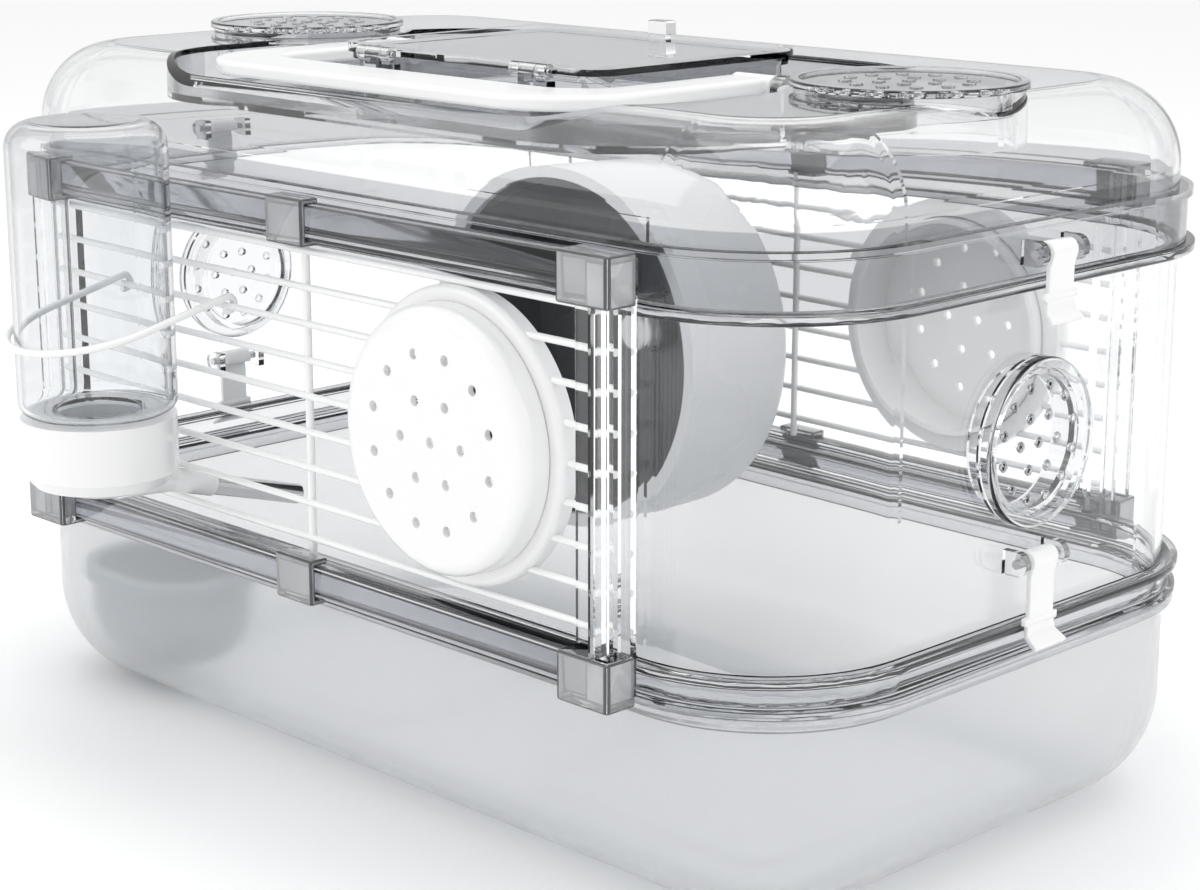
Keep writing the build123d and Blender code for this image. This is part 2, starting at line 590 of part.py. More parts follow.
with BuildPart() as bottle_cap:
    with BuildSketch(Plane.XZ.offset(-BOTTLE_Y)):
        with BuildLine():
            Polyline(
                (BOTTLE_X, 107),
                (BOTTLE_X + 12, 107),
                (BOTTLE_X + 23, 110.5),
                (BOTTLE_X + 27, 115),
                (BOTTLE_X + 27, 134.5),
                (BOTTLE_X + NECK_R, 134.5),
                (BOTTLE_X + NECK_R, 123),
                (BOTTLE_X + NECK_R - 3, 123),
                (BOTTLE_X + NECK_R - 5, 113),
                (BOTTLE_X, 113),
                close=True,
            )
        make_face()
    revolve(axis=Axis((BOTTLE_X, BOTTLE_Y, 0), (0, 0, 1)))
    with BuildSketch(spout_plane):
        Circle(9)
    with BuildSketch(spout_plane.offset(cone_length)):
        Circle(SPOUT_R + 0.65)
    loft()
    with BuildSketch(spout_plane.offset(cone_length)):
        Circle(SPOUT_R + 0.65)
    extrude(amount=nozzle_length - cone_length)
    with BuildSketch(spout_plane.offset(-2)):
        Circle(2.5)
    extrude(amount=tube_from + 3, mode=Mode.SUBTRACT)
    with BuildSketch(spout_plane.offset(tube_from)):
        Circle(SPOUT_R)
    extrude(amount=20, mode=Mode.SUBTRACT)
save(bottle_cap, "bottle_cap")

with BuildPart() as spout:
    with BuildSketch(spout_plane.offset(tube_from)):
        Circle(SPOUT_R)
    extrude(amount=tube_to - tube_from)
    with BuildSketch(spout_plane.offset(tube_from)):
        Circle(SPOUT_BORE)
    extrude(amount=tube_to - tube_from - 1.6, mode=Mode.SUBTRACT)
    with BuildSketch(spout_plane.offset(tube_from)):
        Circle(2.2)
    extrude(amount=tube_to - tube_from, mode=Mode.SUBTRACT)
    fillet(spout.edges().sort_by(Axis((0, 0, 0), (0, cos(fall), -sin(fall))))[-2:], 0.5)
save(spout, "spout_tube")

with BuildPart() as ball:
    with Locations(spout_plane.offset(tube_to - 1.6 - 2.4).location):
        Sphere(BALL_R)
save(ball, "spout_ball")

tilt = radians(HOLDER_TILT)
holder_length = (-WIRE_Y - BOTTLE_Y) / cos(tilt)
holder_rise = (-WIRE_Y - BOTTLE_Y) * tan(tilt)
holder_z = WIRE_LOW + 6 * WIRE_PITCH + WIRE_R + HOLDER_WIRE_R + 0.45 - holder_rise
holder_plane = Plane(
    origin=(BOTTLE_X, BOTTLE_Y, holder_z), x_dir=(1, 0, 0), z_dir=(0, -sin(tilt), cos(tilt))
)
with BuildPart() as holder:
    with BuildLine(holder_plane) as loop:
        Line((HOLDER_R, holder_length + 2), (HOLDER_R, 0))
        ThreePointArc((HOLDER_R, 0), (0, -HOLDER_R), (-HOLDER_R, 0))
        Line((-HOLDER_R, 0), (-HOLDER_R, holder_length + 2))
    with BuildSketch(Plane(origin=loop.line @ 0, z_dir=loop.line % 0)):
        Circle(HOLDER_WIRE_R)
    sweep()
save(holder, "bottle_holder")
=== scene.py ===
from math import cos, radians, sin

import bmesh
import bpy
from mathutils import Matrix, Vector


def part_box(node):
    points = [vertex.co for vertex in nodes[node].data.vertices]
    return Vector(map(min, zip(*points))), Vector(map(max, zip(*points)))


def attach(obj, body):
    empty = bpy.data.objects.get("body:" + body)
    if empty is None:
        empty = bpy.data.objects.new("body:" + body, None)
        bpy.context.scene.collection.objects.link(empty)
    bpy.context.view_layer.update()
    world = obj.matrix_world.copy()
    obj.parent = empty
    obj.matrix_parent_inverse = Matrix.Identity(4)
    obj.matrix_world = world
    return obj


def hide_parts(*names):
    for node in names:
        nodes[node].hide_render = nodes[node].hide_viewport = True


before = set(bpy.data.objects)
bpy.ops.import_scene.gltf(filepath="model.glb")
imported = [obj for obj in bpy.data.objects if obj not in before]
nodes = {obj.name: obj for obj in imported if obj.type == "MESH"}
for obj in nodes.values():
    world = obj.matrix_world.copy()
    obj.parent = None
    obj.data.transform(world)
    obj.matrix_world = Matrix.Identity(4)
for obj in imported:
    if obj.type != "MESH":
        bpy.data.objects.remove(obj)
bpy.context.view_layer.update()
scene = bpy.context.scene

# ---------------------------------------------------------------- studio
# A pale floor under a white sky, three wide soft lamps, and the camera
# about 0.7 m off the cage's near corner, a little above its lid.
camera_data = bpy.data.cameras.new("camera")
camera_data.lens = 78.03
camera_data.sensor_width = 36
camera = bpy.data.objects.new("camera", camera_data)
camera.location = (0.67656, -0.65428, 0.34508)
camera.rotation_euler = (radians(90 - 14.135), 0, radians(45.395))
scene.collection.objects.link(camera)
scene.camera = camera

floor_mesh = bpy.data.meshes.new("floor")
floor_half = 30
floor_corners = [(x * floor_half, y * floor_half, 0) for x, y in ((-1, -1), (1, -1), (1, 1), (-1, 1))]
floor_mesh.from_pydata(floor_corners, [], [(0, 1, 2, 3)])
floor = bpy.data.objects.new("floor", floor_mesh)
scene.collection.objects.link(floor)
floor_paint = bpy.data.materials.new("pale_floor")
floor_paint.use_nodes = True
floor_shader = floor_paint.node_tree.nodes["Principled BSDF"]
floor_shader.inputs["Base Color"].default_value = (0.97, 0.97, 0.97, 1)
floor_shader.inputs["Roughness"].default_value = 0.8
floor_mesh.materials.append(floor_paint)

sky = bpy.data.worlds.new("studio")
scene.world = sky
sky.use_nodes = True
sky_nodes = sky.node_tree.nodes
sky_links = sky.node_tree.links
direction = sky_nodes.new("ShaderNodeTexCoord")
height = sky_nodes.new("ShaderNodeSeparateXYZ")
shade = sky_nodes.new("ShaderNodeValToRGB")
shade.color_ramp.elements[0].position = 0.0
shade.color_ramp.elements[0].color = (0.80, 0.81, 0.82, 1)
shade.color_ramp.elements[1].position = 0.45
shade.color_ramp.elements[1].color = (1.0, 1.0, 1.0, 1)
sky_links.new(direction.outputs["Generated"], height.inputs["Vector"])
sky_links.new(height.outputs["Z"], shade.inputs["Fac"])
sky_links.new(shade.outputs["Color"], sky_nodes["Background"].inputs["Color"])
sky_nodes["Background"].inputs["Strength"].default_value = 0.97
scene.view_settings.view_transform = "Standard"


def soft_lamp(name, place, aim, size, power):
    """A square area lamp that faces a point of the cage."""
    lamp_data = bpy.data.lights.new(name, "AREA")
    lamp_data.size = size
    lamp_data.energy = power
    lamp = bpy.data.objects.new(name, lamp_data)
    lamp.location = place
    lamp.rotation_euler = (Vector(aim) - Vector(place)).to_track_quat("-Z", "Y").to_euler()
    scene.collection.objects.link(lamp)


soft_lamp("overhead", (0.1, 0.1, 1.8), (0, 0, 0.1), 1.6, 8)
soft_lamp("front_left", (-0.9, -1.5, 1.0), (0, 0, 0.12), 1.2, 6)
soft_lamp("right_fill", (1.7, 0.1, 0.9), (0, 0, 0.12), 1.0, 3)

# ---------------------------------------------------------------- tray
# The tray is one deep moulding of milky polypropylene, thin enough to show
# the bowl inside as a shadow, with a satin skin from the mould.


def moulded_skin():
    """Node group: the slight unevenness in gloss and surface that a mould leaves."""
    group = bpy.data.node_groups.new("moulded_skin", "ShaderNodeTree")
    for name, value in (("Roughness", 0.2), ("Unevenness", 0.05), ("Grain Size", 400.0), ("Depth", 0.05)):
        socket = group.interface.new_socket(name=name, in_out="INPUT", socket_type="NodeSocketFloat")
        socket.default_value = value
    group.interface.new_socket(name="Roughness", in_out="OUTPUT", socket_type="NodeSocketFloat")
    group.interface.new_socket(name="Normal", in_out="OUTPUT", socket_type="NodeSocketVector")
    make = group.nodes.new
    link = group.links.new
    given = make("NodeGroupInput")
    result = make("NodeGroupOutput")
    place = make("ShaderNodeTexCoord")
    flow = make("ShaderNodeTexNoise")
    flow.inputs["Scale"].default_value = 14.0
    flow.inputs["Detail"].default_value = 3.0
    grain = make("ShaderNodeTexNoise")
    swing = make("ShaderNodeMath")
    swing.operation = "MULTIPLY_ADD"
    centred = make("ShaderNodeMath")
    centred.operation = "SUBTRACT"
    centred.inputs[1].default_value = 0.5
    bump = make("ShaderNodeBump")
    bump.inputs["Distance"].default_value = 0.0004
    link(place.outputs["Object"], flow.inputs["Vector"])
    link(place.outputs["Object"], grain.inputs["Vector"])
    link(given.outputs["Grain Size"], grain.inputs["Scale"])
    link(flow.outputs["Fac"], centred.inputs[0])
    link(centred.outputs["Value"], swing.inputs[0])
    link(given.outputs["Unevenness"], swing.inputs[1])
    link(given.outputs["Roughness"], swing.inputs[2])
    link(grain.outputs["Fac"], bump.inputs["Height"])
    link(given.outputs["Depth"], bump.inputs["Strength"])
    link(swing.outputs["Value"], result.inputs["Roughness"])
    link(bump.outputs["Normal"], result.inputs["Normal"])
    return group


skin_group = moulded_skin()


def moulding(name, colour, roughness, unevenness, grain_size, depth):
    """A plastic with the moulded skin; returns the material and its shader."""
    material = bpy.data.materials.new(name)
    material.use_nodes = True
    shader = material.node_tree.nodes["Principled BSDF"]
    shader.inputs["Base Color"].default_value = (*colour, 1)
    skin = material.node_tree.nodes.new("ShaderNodeGroup")
    skin.node_tree = skin_group
    skin.inputs["Roughness"].default_value = roughness
    skin.inputs["Unevenness"].default_value = unevenness
    skin.inputs["Grain Size"].default_value = grain_size
    skin.inputs["Depth"].default_value = depth
    material.node_tree.links.new(skin.outputs["Roughness"], shader.inputs["Roughness"])
    material.node_tree.links.new(skin.outputs["Normal"], shader.inputs["Normal"])
    return material, shader


def let_light_in(material, shader, tint):
    """Lets lamp light pass a clear or milky wall straight on, so that the inside isn't dark."""
    make = material.node_tree.nodes.new
    link = material.node_tree.links.new
    path = make("ShaderNodeLightPath")
    through = make("ShaderNodeBsdfTransparent")
    through.inputs["Color"].default_value = (*tint, 1)
    choice = make("ShaderNodeMixShader")
    soft_ray = make("ShaderNodeMath")
    soft_ray.operation = "MAXIMUM"
    link(path.outputs["Is Shadow Ray"], soft_ray.inputs[0])
    link(path.outputs["Is Diffuse Ray"], soft_ray.inputs[1])
    link(soft_ray.outputs["Value"], choice.inputs["Fac"])
    link(shader.outputs["BSDF"], choice.inputs[1])
    link(through.outputs["BSDF"], choice.inputs[2])
    link(choice.outputs["Shader"], material.node_tree.nodes["Material Output"].inputs["Surface"])


def dress(material, *names):
    """Gives a material to CAD nodes."""
    for name in names:
        nodes[name].data.materials.clear()
        nodes[name].data.materials.append(material)


milky, milky_shader = moulding("milky_tray", (0.885, 0.892, 0.90), 0.18, 0.06, 300.0, 0.015)
milky_shader.inputs["Transmission Weight"].default_value = 0.82
milky_shader.inputs["IOR"].default_value = 1.25
let_light_in(milky, milky_shader, (0.80, 0.81, 0.82))
dress(milky, "tray")

# ---------------------------------------------------------------- food bowl
# A small blue-grey bowl of solid plastic stands loose in the tray's
# front left corner.
bowl_plastic, _ = moulding("bowl_plastic", (0.30, 0.35, 0.385), 0.25, 0.08, 500.0, 0.05)
dress(bowl_plastic, "food_bowl")

# ---------------------------------------------------------------- clear frame
# The end walls, ledges, rails, lid and caps are clear polystyrene. It is clear face on; where a wall is
# seen along its length its colour is darkened, a painted shade for the dark look of clear plastic there.


def painted_edge_shade(material, face_on, edge_on_shade, edge_start):
    """Adds painted shade: a ramp from a clear face to a dark colour where the surface is seen edge on;
    returns its colour socket.
    """
    slant = material.node_tree.nodes.new("ShaderNodeLayerWeight")
    slant.inputs["Blend"].default_value = 0.5
    tone = material.node_tree.nodes.new("ShaderNodeValToRGB")
    tone.color_ramp.elements[0].position = edge_start
    tone.color_ramp.elements[0].color = (*face_on, 1)
    tone.color_ramp.elements[1].position = 1.0
    tone.color_ramp.elements[1].color = (*edge_on_shade, 1)
    material.node_tree.links.new(slant.outputs["Facing"], tone.inputs["Fac"])
    return tone.outputs["Color"]


def clear_moulding(name, face_on, edge_on_shade, edge_start, roughness):
    """Clear polystyrene: a near-white face, with painted shade where it is seen edge on."""
    material, shader = moulding(name, face_on, roughness, 0.02, 60.0, 0.015)
    colour = painted_edge_shade(material, face_on, edge_on_shade, edge_start)
    material.node_tree.links.new(colour, shader.inputs["Base Color"])
    shader.inputs["Transmission Weight"].default_value = 1.0
    shader.inputs["IOR"].default_value = 1.45
    let_light_in(material, shader, tuple(0.97 * part for part in face_on))
    return material, shader


# Each clear moulding below has a face tint and the dark painted shade it takes where it is seen edge on.
thin_face = (0.985, 0.988, 0.99)
thin_edge_shade = (0.30, 0.31, 0.33)
thin_edge_start = 0.80
clear_wall, _ = clear_moulding("clear_wall", thin_face, thin_edge_shade, thin_edge_start, 0.02)
clear_band, _ = clear_moulding("clear_band", (0.80, 0.81, 0.83), (0.10, 0.105, 0.115), 0.55, 0.03)
clear_thick, _ = clear_moulding("clear_thick", (0.90, 0.91, 0.92), (0.05, 0.055, 0.06), 0.62, 0.02)
clear_block, block_shader = clear_moulding(
    "clear_block", (0.78, 0.79, 0.80), (0.012, 0.013, 0.015), 0.35, 0.04
)
block_shader.inputs["Transmission Weight"].default_value = 0.72
block_shader.inputs["Coat Weight"].default_value = 1.0
# Painted shade: a near-black gloss for the rounded edges of clear mouldings, where clear plastic looks
# dark.
painted_bevel_shade, bevel_shade_shader = moulding("painted_bevel_shade", (0.035, 0.037, 0.04), 0.08, 0.02, 60.0, 0.01)
bevel_shade_shader.inputs["Coat Weight"].default_value = 1.0


def bevel_shaded(node, body, material, edge_width):
    """Stands a copy of a clear moulding in its place, with its sharp edges rounded and given a near-black
    painted shade.
    """
    whole = bmesh.new()
    whole.from_mesh(nodes[node].data)
    bmesh.ops.remove_doubles(whole, verts=whole.verts, dist=1e-6)
    bmesh.ops.dissolve_limit(whole, angle_limit=radians(1), verts=whole.verts, edges=whole.edges)
    for face in whole.faces:
        face.smooth = True
    edged_mesh = bpy.data.meshes.new(f"{node}_moulding")
    whole.to_mesh(edged_mesh)
    whole.free()
    edged = bpy.data.objects.new(f"{node}_moulding", edged_mesh)
    scene.collection.objects.link(edged)
    edged_mesh.materials.append(material)
    edged_mesh.materials.append(painted_bevel_shade)
    rounding = edged.modifiers.new("rounding", "BEVEL")
    rounding.width = edge_width
    rounding.segments = 2
    rounding.limit_method = "ANGLE"
    rounding.angle_limit = radians(40)
    rounding.use_clamp_overlap = False
    rounding.harden_normals = True
    rounding.material = 1
    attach(edged, body)
    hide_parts(node)


for face_name in ("front", "back"):
    bevel_shaded(f"{face_name}_clasps", "frame", clear_block, 0.0007)
    bevel_shaded(f"{face_name}_lower_rail", "frame", clear_band, 0.0004)
    bevel_shaded(f"{face_name}_upper_rail", "frame", clear_band, 0.0004)
dress(clear_wall, "left_end_wall", "right_end_wall")
bevel_shaded("frame_skirt", "frame", clear_band, 0.0003)
bevel_shaded("lid_ledge", "frame", clear_band, 0.0003)
dress(clear_thick, "left_port_cap", "right_port_cap", "left_top_cap", "right_top_cap")
hatch_clear, _ = clear_moulding(
    "hatch_clear", (0.96, 0.963, 0.967), (0.05, 0.055, 0.06), 0.78, 0.02
)
dress(hatch_clear, "hatch")

# ---------------------------------------------------------------- lid
# The lid is one clear shell with a recess for the handle. Its skirt and the recess's steep wall get
# painted shade: a darker tone, for the dark look they have when seen through a long way of plastic.
lid_clear, lid_shader = clear_moulding("lid_clear", thin_face, thin_edge_shade, thin_edge_start, 0.02)
skirt_height = 0.0228
floor_drop = 0.0058  # from the folded handle down to the recess's floor
side_room = 0.0275  # from the handle out to the recess's wall, to left and right
front_room = 0.0045  # the same, to the front
steep_limit = 0.4  # a face whose normal rises less than this is part of a wall
lid_low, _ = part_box("lid")
handle_low, handle_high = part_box("carry_handle")
skirt_top = lid_low.z + skirt_height
recess_floor = handle_low.z - floor_drop
recess_reach = (handle_high.x + side_room, abs(handle_low.y) + front_room)
lid_node = lid_clear.node_tree.nodes.new
lid_link = lid_clear.node_tree.links.new


def compare(source, operation, limit):
    """A mask that is 1 where the source is past the limit."""
    test = lid_node("ShaderNodeMath")
    test.operation = operation
    test.inputs[1].default_value = limit
    lid_link(source, test.inputs[0])
    return test.outputs["Value"]


def combine(operation, one, two):
    """Joins two masks."""
    both = lid_node("ShaderNodeMath")
    both.operation = operation
    lid_link(one, both.inputs[0])
    lid_link(two, both.inputs[1])
    return both.outputs["Value"]


def size_of(source):
    """The value without its sign."""
    plain = lid_node("ShaderNodeMath")
    plain.operation = "ABSOLUTE"
    lid_link(source, plain.inputs[0])
    return plain.outputs["Value"]


lid_place = lid_node("ShaderNodeTexCoord")
spot = lid_node("ShaderNodeSeparateXYZ")
facing = lid_node("ShaderNodeSeparateXYZ")
lid_link(lid_place.outputs["Object"], spot.inputs["Vector"])
lid_link(lid_place.outputs["Normal"], facing.inputs["Vector"])
in_skirt = compare(spot.outputs["Z"], "LESS_THAN", skirt_top)
in_recess = combine(
    "MULTIPLY",
    compare(size_of(spot.outputs["X"]), "LESS_THAN", recess_reach[0]),
    compare(size_of(spot.outputs["Y"]), "LESS_THAN", recess_reach[1]),
)
steep = combine(
    "MULTIPLY",
    compare(size_of(facing.outputs["Z"]), "LESS_THAN", steep_limit),
    compare(spot.outputs["Z"], "GREATER_THAN", recess_floor),
)
# Painted shade: the skirt and the recess's steep wall take the darker of the two tones below.
painted_shade_part = combine("MAXIMUM", in_skirt, combine("MULTIPLY", in_recess, steep))
lid_tone = lid_node("ShaderNodeMix")
lid_tone.data_type = "RGBA"
lid_link(painted_shade_part, lid_tone.inputs["Factor"])
lid_link(painted_edge_shade(lid_clear, thin_face, thin_edge_shade, thin_edge_start), lid_tone.inputs["A"])
lid_link(painted_edge_shade(lid_clear, (0.62, 0.63, 0.65), (0.06, 0.065, 0.07), 0.45), lid_tone.inputs["B"])
lid_link(lid_tone.outputs["Result"], lid_shader.inputs["Base Color"])
dress(lid_clear, "lid")

# ---------------------------------------------------------------- caps of the tube ports
# Four clear push-in caps, each with nineteen air holes. Every hole has a small raised collar, which shows
# as a dark ring through the painted edge shade of the clear plastic.


def hole_collars():
    """Geometry nodes: a collar in the middle, six round it and twelve round those."""
    tree = bpy.data.node_groups.new("hole_collars", "GeometryNodeTree")
    tree.interface.new_socket(name="Geometry", in_out="OUTPUT", socket_type="NodeSocketGeometry")
    for name in ("Inner Ring", "Outer Ring", "Hole Radius", "Collar Wire"):
        tree.interface.new_socket(name=name, in_out="INPUT", socket_type="NodeSocketFloat")
    tree.interface.new_socket(name="Material", in_out="INPUT", socket_type="NodeSocketMaterial")
    node = tree.nodes.new
    join = tree.links.new
    given = node("NodeGroupInput")
    result = node("NodeGroupOutput")
    inner = node("GeometryNodeMeshCircle")
    inner.inputs["Vertices"].default_value = 6
    outer_circle = node("GeometryNodeMeshCircle")
    outer_circle.inputs["Vertices"].default_value = 12
    turned = node("GeometryNodeTransform")
    turned.inputs["Rotation"].default_value = (0, 0, radians(15))
    middle = node("GeometryNodeMeshLine")
    middle.inputs["Count"].default_value = 1
    spots = node("GeometryNodeJoinGeometry")
    around = node("GeometryNodeCurvePrimitiveCircle")
    around.inputs["Resolution"].default_value = 20
    section = node("GeometryNodeCurvePrimitiveCircle")
    section.inputs["Resolution"].default_value = 8
    collar = node("GeometryNodeCurveToMesh")
    place_all = node("GeometryNodeInstanceOnPoints")
    real = node("GeometryNodeRealizeInstances")
    finish = node("GeometryNodeSetMaterial")
    join(given.outputs["Inner Ring"], inner.inputs["Radius"])
    join(given.outputs["Outer Ring"], outer_circle.inputs["Radius"])
    join(given.outputs["Hole Radius"], around.inputs["Radius"])
    join(given.outputs["Collar Wire"], section.inputs["Radius"])
    join(outer_circle.outputs["Mesh"], turned.inputs["Geometry"])
    for source in (inner.outputs["Mesh"], turned.outputs["Geometry"], middle.outputs["Mesh"]):
        join(source, spots.inputs["Geometry"])
    join(around.outputs["Curve"], collar.inputs["Curve"])
    join(section.outputs["Curve"], collar.inputs["Profile Curve"])
    join(spots.outputs["Geometry"], place_all.inputs["Points"])
    join(collar.outputs["Mesh"], place_all.inputs["Instance"])
    join(place_all.outputs["Instances"], real.inputs["Geometry"])
    join(real.outputs["Geometry"], finish.inputs["Geometry"])
    join(given.outputs["Material"], finish.inputs["Material"])
    join(finish.outputs["Geometry"], result.inputs["Geometry"])
    return tree


collar_tree = hole_collars()
collar_wire = 0.00045
top_sink = 0.0010  # from a cap's outer face in to the collars' middle line
port_sink = 0.0016
top_rings = (0.0103, 0.0205, 0.0018)
port_rings = (0.0095, 0.0185, 0.0014)
top_axes = Matrix(((1, 0, 0), (0, 1, 0), (0, 0, 1)))
port_axes = Matrix(((0, 0, 1), (1, 0, 0), (0, 1, 0)))
for kind, rings, axes in (("top", top_rings, top_axes), ("port", port_rings, port_axes)):
    for side, side_name in ((-1, "left"), (1, "right")):
        cap = f"{side_name}_{kind}_cap"
        low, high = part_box(cap)
        centre = (low + high) / 2
        if kind == "top":
            centre.z = high.z - top_sink
        else:
            centre.x = side * (max(abs(low.x), abs(high.x)) - port_sink)
        collars = bpy.data.objects.new(f"{cap}_collars", bpy.data.meshes.new(f"{cap}_collars"))
        scene.collection.objects.link(collars)
        maker = collars.modifiers.new("collars", "NODES")
        maker.node_group = collar_tree
        given_values = dict(zip(("Inner Ring", "Outer Ring", "Hole Radius"), rings))
        given_values["Collar Wire"] = collar_wire
        given_values["Material"] = clear_thick
        for socket in collar_tree.interface.items_tree:
            if socket.name in given_values:
                maker[socket.identifier] = given_values[socket.name]
        made = collars.evaluated_get(bpy.context.evaluated_depsgraph_get())
        collars_mesh = bpy.data.meshes.new_from_object(made)
        collars.modifiers.clear()
        collars.data = collars_mesh
        collars_mesh.transform(Matrix.Translation(centre) @ axes.to_4x4())
        for face in collars_mesh.polygons:
            face.use_smooth = True
        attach(collars, cap)

# ---------------------------------------------------------------- wires
# Nine level wires and one upright a side, spot-welded and dipped in a thick
# white coat that rounds every edge.
coat, coat_shader = moulding("coated_wire", (0.88, 0.88, 0.875), 0.22, 0.10, 900.0, 0.10)
coat_shader.inputs["Coat Weight"].default_value = 0.4
dress(coat, "front_wires", "back_wires")

# ---------------------------------------------------------------- doors
# Round push-in doors of white plastic, in rings that are clipped between
# the wires. Nineteen air holes go through each door.
white, white_shader = moulding("white_plastic", (0.85, 0.85, 0.848), 0.20, 0.08, 450.0, 0.05)
white_shader.inputs["Coat Weight"].default_value = 0.3
dress(white, "front_door", "back_door", "front_door_ring", "back_door_ring")

# ---------------------------------------------------------------- running wheel
# The wheel is a drum in two colours: a pale outer skin and rim over a dark
# grey running surface. It turns on a white axle in a bracket on the wires.
wheel_low, wheel_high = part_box("running_wheel")
wheel_centre = (wheel_low + wheel_high) / 2
wheel_radius = (wheel_high.x - wheel_low.x) / 2
skin_depth = 0.0012
rim_depth = 0.0034
wheel_plastic, wheel_shader = moulding("wheel_plastic", (0.6, 0.6, 0.6), 0.28, 0.10, 400.0, 0.06)
wheel_node = wheel_plastic.node_tree.nodes.new
wheel_link = wheel_plastic.node_tree.links.new
wheel_place = wheel_node("ShaderNodeTexCoord")
arm = wheel_node("ShaderNodeVectorMath")
arm.operation = "SUBTRACT"
arm.inputs[1].default_value = wheel_centre
flat = wheel_node("ShaderNodeVectorMath")
flat.operation = "MULTIPLY"
flat.inputs[1].default_value = (1, 0, 1)
reach = wheel_node("ShaderNodeVectorMath")
reach.operation = "LENGTH"
outer = wheel_node("ShaderNodeMath")
outer.operation = "GREATER_THAN"
outer.inputs[1].default_value = wheel_radius - skin_depth
depth = wheel_node("ShaderNodeSeparateXYZ")
rim = wheel_node("ShaderNodeMath")
rim.operation = "LESS_THAN"
rim.inputs[1].default_value = wheel_low.y + rim_depth
pale = wheel_node("ShaderNodeMath")
pale.operation = "MAXIMUM"
two_tone = wheel_node("ShaderNodeMix")
two_tone.data_type = "RGBA"
two_tone.inputs["A"].default_value = (0.115, 0.12, 0.128, 1)
two_tone.inputs["B"].default_value = (0.70, 0.71, 0.72, 1)
wheel_link(wheel_place.outputs["Object"], arm.inputs[0])
wheel_link(arm.outputs["Vector"], flat.inputs[0])
wheel_link(flat.outputs["Vector"], reach.inputs[0])
wheel_link(reach.outputs["Value"], outer.inputs[0])
wheel_link(wheel_place.outputs["Object"], depth.inputs["Vector"])
wheel_link(depth.outputs["Y"], rim.inputs[0])
wheel_link(outer.outputs["Value"], pale.inputs[0])
wheel_link(rim.outputs["Value"], pale.inputs[1])
wheel_link(pale.outputs["Value"], two_tone.inputs["Factor"])
wheel_link(two_tone.outputs["Result"], wheel_shader.inputs["Base Color"])
dress(wheel_plastic, "running_wheel")
dress(white, "wheel_axle", "wheel_bracket")

# ---------------------------------------------------------------- hatch, handle and pins
# A white U-shaped handle folds down into the lid's recess, round the clear
# hatch. Both turn on plain steel pins. The hatch's pins are drawn a little
# thinner than its bores.
steel, steel_shader = moulding("steel", (0.62, 0.625, 0.63), 0.16, 0.10, 700.0, 0.03)
steel_shader.inputs["Metallic"].default_value = 1.0
dress(white, "carry_handle")
dress(steel, "handle_pins", "lid_clip_pins", "wall_clip_pins", "spout_tube", "spout_ball")

pin_play = 0.00005
pins_low, pins_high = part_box("hatch_pins")
pin_radius = (pins_high.z - pins_low.z) / 2 - pin_play
pin_length = 0.018
hinge_out = pins_high.x - pin_length / 2
hinge_line = (pins_low + pins_high) / 2
hinge = bmesh.new()
for side in (-1, 1):
    middle = Vector((side * hinge_out, hinge_line.y, hinge_line.z))
    bmesh.ops.create_cone(
        hinge,
        cap_ends=True,
        segments=32,
        radius1=pin_radius,
        radius2=pin_radius,
        depth=pin_length,
        matrix=Matrix.Translation(middle) @ Matrix.Rotation(radians(90), 4, "Y"),
    )
hinge_mesh = bpy.data.meshes.new("hatch_hinge_pins")
hinge.to_mesh(hinge_mesh)
hinge.free()
hinge_pins = bpy.data.objects.new("hatch_hinge_pins", hinge_mesh)
scene.collection.objects.link(hinge_pins)
pin_end = hinge_pins.modifiers.new("pin_end", "BEVEL")
pin_end.width = 0.0003
pin_end.segments = 2
pin_end.limit_method = "ANGLE"
hinge_mesh.materials.append(steel)
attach(hinge_pins, "lid")
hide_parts("hatch_pins")

# ---------------------------------------------------------------- clips
# Two white clips at each end hold the lid and the frame down. Each is one
# springy strip: a curl round its pin, an arm, a raised tee and a flared foot.
strip_thick = 0.0020
curl_radius = 0.0027
curl_start, curl_step, curl_steps = 215, 19, 13  # degrees, degrees and points
arm_half = 0.0063
tee_half = 0.0085
foot_half = 0.0082
foot_rise = 0.0100  # from the foot's end up to the tee
neck = 0.0045  # from the pin down to where the arm starts
arm_inset = 0.0012  # from the curl's last point in to the arm


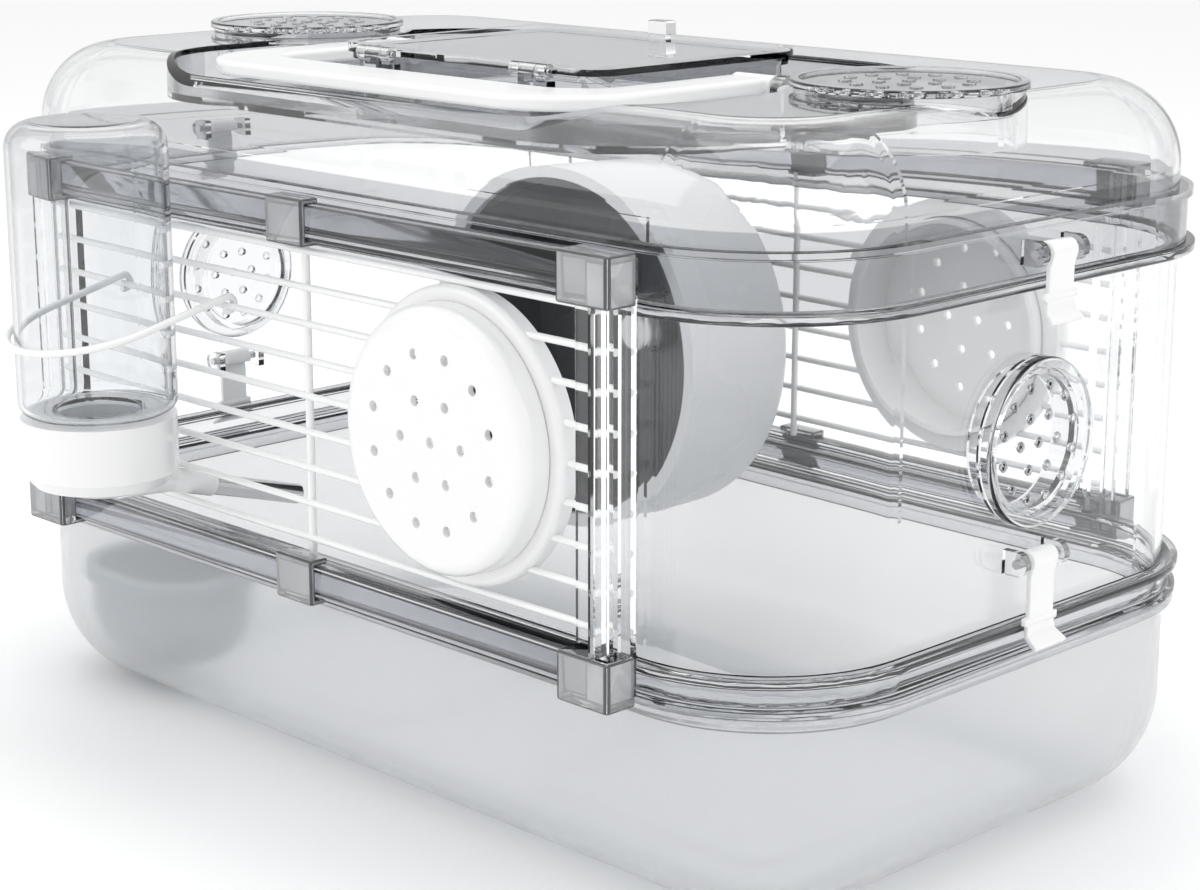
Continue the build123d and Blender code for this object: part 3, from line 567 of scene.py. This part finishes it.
def clip_strip(name, side, pin, foot):
    """Bends a strip into a clip; pin and foot are (distance out, height)."""
    line = []
    for step in range(curl_steps):
        turn = radians(curl_start - step * curl_step)
        line.append((pin[0] + curl_radius * cos(turn), pin[1] + curl_radius * sin(turn), arm_half))
    arm_out = line[-1][0] - arm_inset
    arm_low = foot[1] + foot_rise
    line.append((arm_out, pin[1] - neck, arm_half))
    line.append((arm_out, arm_low + 0.0030, arm_half))
    line.append((arm_out, arm_low + 0.0004, arm_half))
    line.append((arm_out, arm_low, tee_half))
    line.append((arm_out, arm_low - 0.0022, tee_half))
    line.append((arm_out, arm_low - 0.0026, arm_half + 0.0006))
    line.append((arm_out + 0.0004, arm_low - 0.0060, arm_half + 0.0012))
    line.append((foot[0] - 0.0006, foot[1] + 0.0008, foot_half))
    mesh = bmesh.new()
    rings = []
    for i, (out, up, half) in enumerate(line):
        before = line[max(i - 1, 0)]
        after = line[min(i + 1, len(line) - 1)]
        along = Vector((after[0] - before[0], after[1] - before[1])).normalized()
        across = Vector((-along.y, along.x)) * strip_thick / 2
        corners = []
        for sign, y in ((1, -half), (1, half), (-1, half), (-1, -half)):
            corners.append(mesh.verts.new((side * (out + sign * across.x), y, up + sign * across.y)))
        rings.append(corners)
    for one, two in zip(rings, rings[1:]):
        for i in range(4):
            mesh.faces.new((one[i], one[(i + 1) % 4], two[(i + 1) % 4], two[i]))
    mesh.faces.new(rings[0])
    mesh.faces.new(rings[-1][::-1])
    bmesh.ops.recalc_face_normals(mesh, faces=mesh.faces)
    data = bpy.data.meshes.new(name)
    mesh.to_mesh(data)
    mesh.free()
    piece = bpy.data.objects.new(name, data)
    scene.collection.objects.link(piece)
    edge = piece.modifiers.new("edge", "BEVEL")
    edge.width = 0.0005
    edge.segments = 3
    edge.limit_method = "ANGLE"
    edge.angle_limit = radians(40)
    for face in data.polygons:
        face.use_smooth = True
    data.materials.append(white)
    return piece


for level in ("lid", "wall"):
    for side, side_name in ((-1, "left"), (1, "right")):
        node = f"{side_name}_{level}_clip"
        low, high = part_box(node)
        out_face = max(abs(low.x), abs(high.x))
        pins_low, pins_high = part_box(f"{level}_clip_pins")
        pin_out = pins_high.x - (pins_high.z - pins_low.z) / 2
        pin_up = (pins_low.z + pins_high.z) / 2
        clip = clip_strip(f"{node}_strip", side, (pin_out, pin_up), (out_face, low.z))
        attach(clip, node)
        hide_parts(node)

# ---------------------------------------------------------------- water bottle
# A clear bottle hangs upside down on the front wires in a sprung wire loop.
# Its white screw cap ends in a nozzle that holds the steel drinking tube.
dress(clear_thick, "bottle_reservoir")
dress(white, "bottle_cap")
rubber, _ = moulding("seal_rubber", (0.02, 0.02, 0.02), 0.55, 0.1, 800.0, 0.1)
dress(rubber, "bottle_seal")

loop_low, loop_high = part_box("bottle_holder")
bottle_low, bottle_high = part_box("bottle_reservoir")
loop_wire = 0.0013
loop_half = (loop_high.x - loop_low.x) / 2 - loop_wire
loop_x = (loop_high.x + loop_low.x) / 2
bottle_y = (bottle_low.y + bottle_high.y) / 2
loop_depth = bottle_y - loop_low.y - loop_wire
wires_low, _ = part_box("front_wires")
wire_radius = 0.0012
wire_y = wires_low.y + wire_radius
hook_radius = 0.0026
straight = 0.008  # the loop's straight part beside the hook
hook_z = loop_high.z - loop_wire - hook_radius
hook_top = hook_z + hook_radius
slope = (hook_top - loop_low.z) / (wire_y - loop_low.y)
route = []
for turn in range(-120, 91, 30):
    y = wire_y + hook_radius * cos(radians(turn))
    route.append((loop_half, y, hook_z + hook_radius * sin(radians(turn))))
hook_points = len(route)
route.append((loop_half, wire_y - straight, hook_top - straight * slope))
for step in range(0, 181, 12):
    turn = radians(step)
    y = bottle_y - loop_depth * sin(turn)
    route.append((loop_half * cos(turn), y, hook_top - (wire_y - y) * slope))
route.append((-loop_half, wire_y - straight, hook_top - straight * slope))
route += [(-loop_half, y, z) for x, y, z in route[:hook_points]][::-1]
loop_curve = bpy.data.curves.new("bottle_loop_line", "CURVE")
loop_curve.dimensions = "3D"
loop_curve.bevel_depth = loop_wire
loop_curve.bevel_resolution = 4
loop_curve.use_fill_caps = True
line = loop_curve.splines.new("POLY")
line.points.add(len(route) - 1)
for point, (x, y, z) in zip(line.points, route):
    point.co = (loop_x + x, y, z, 1)
loop_line = bpy.data.objects.new("bottle_loop_line", loop_curve)
scene.collection.objects.link(loop_line)
loop_made = loop_line.evaluated_get(bpy.context.evaluated_depsgraph_get())
loop_mesh = bpy.data.meshes.new_from_object(loop_made)
bpy.data.objects.remove(loop_line)
loop = bpy.data.objects.new("bottle_loop", loop_mesh)
scene.collection.objects.link(loop)
for face in loop_mesh.polygons:
    face.use_smooth = True
loop_mesh.materials.clear()
loop_mesh.materials.append(coat)
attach(loop, "bottle")
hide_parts("bottle_holder")
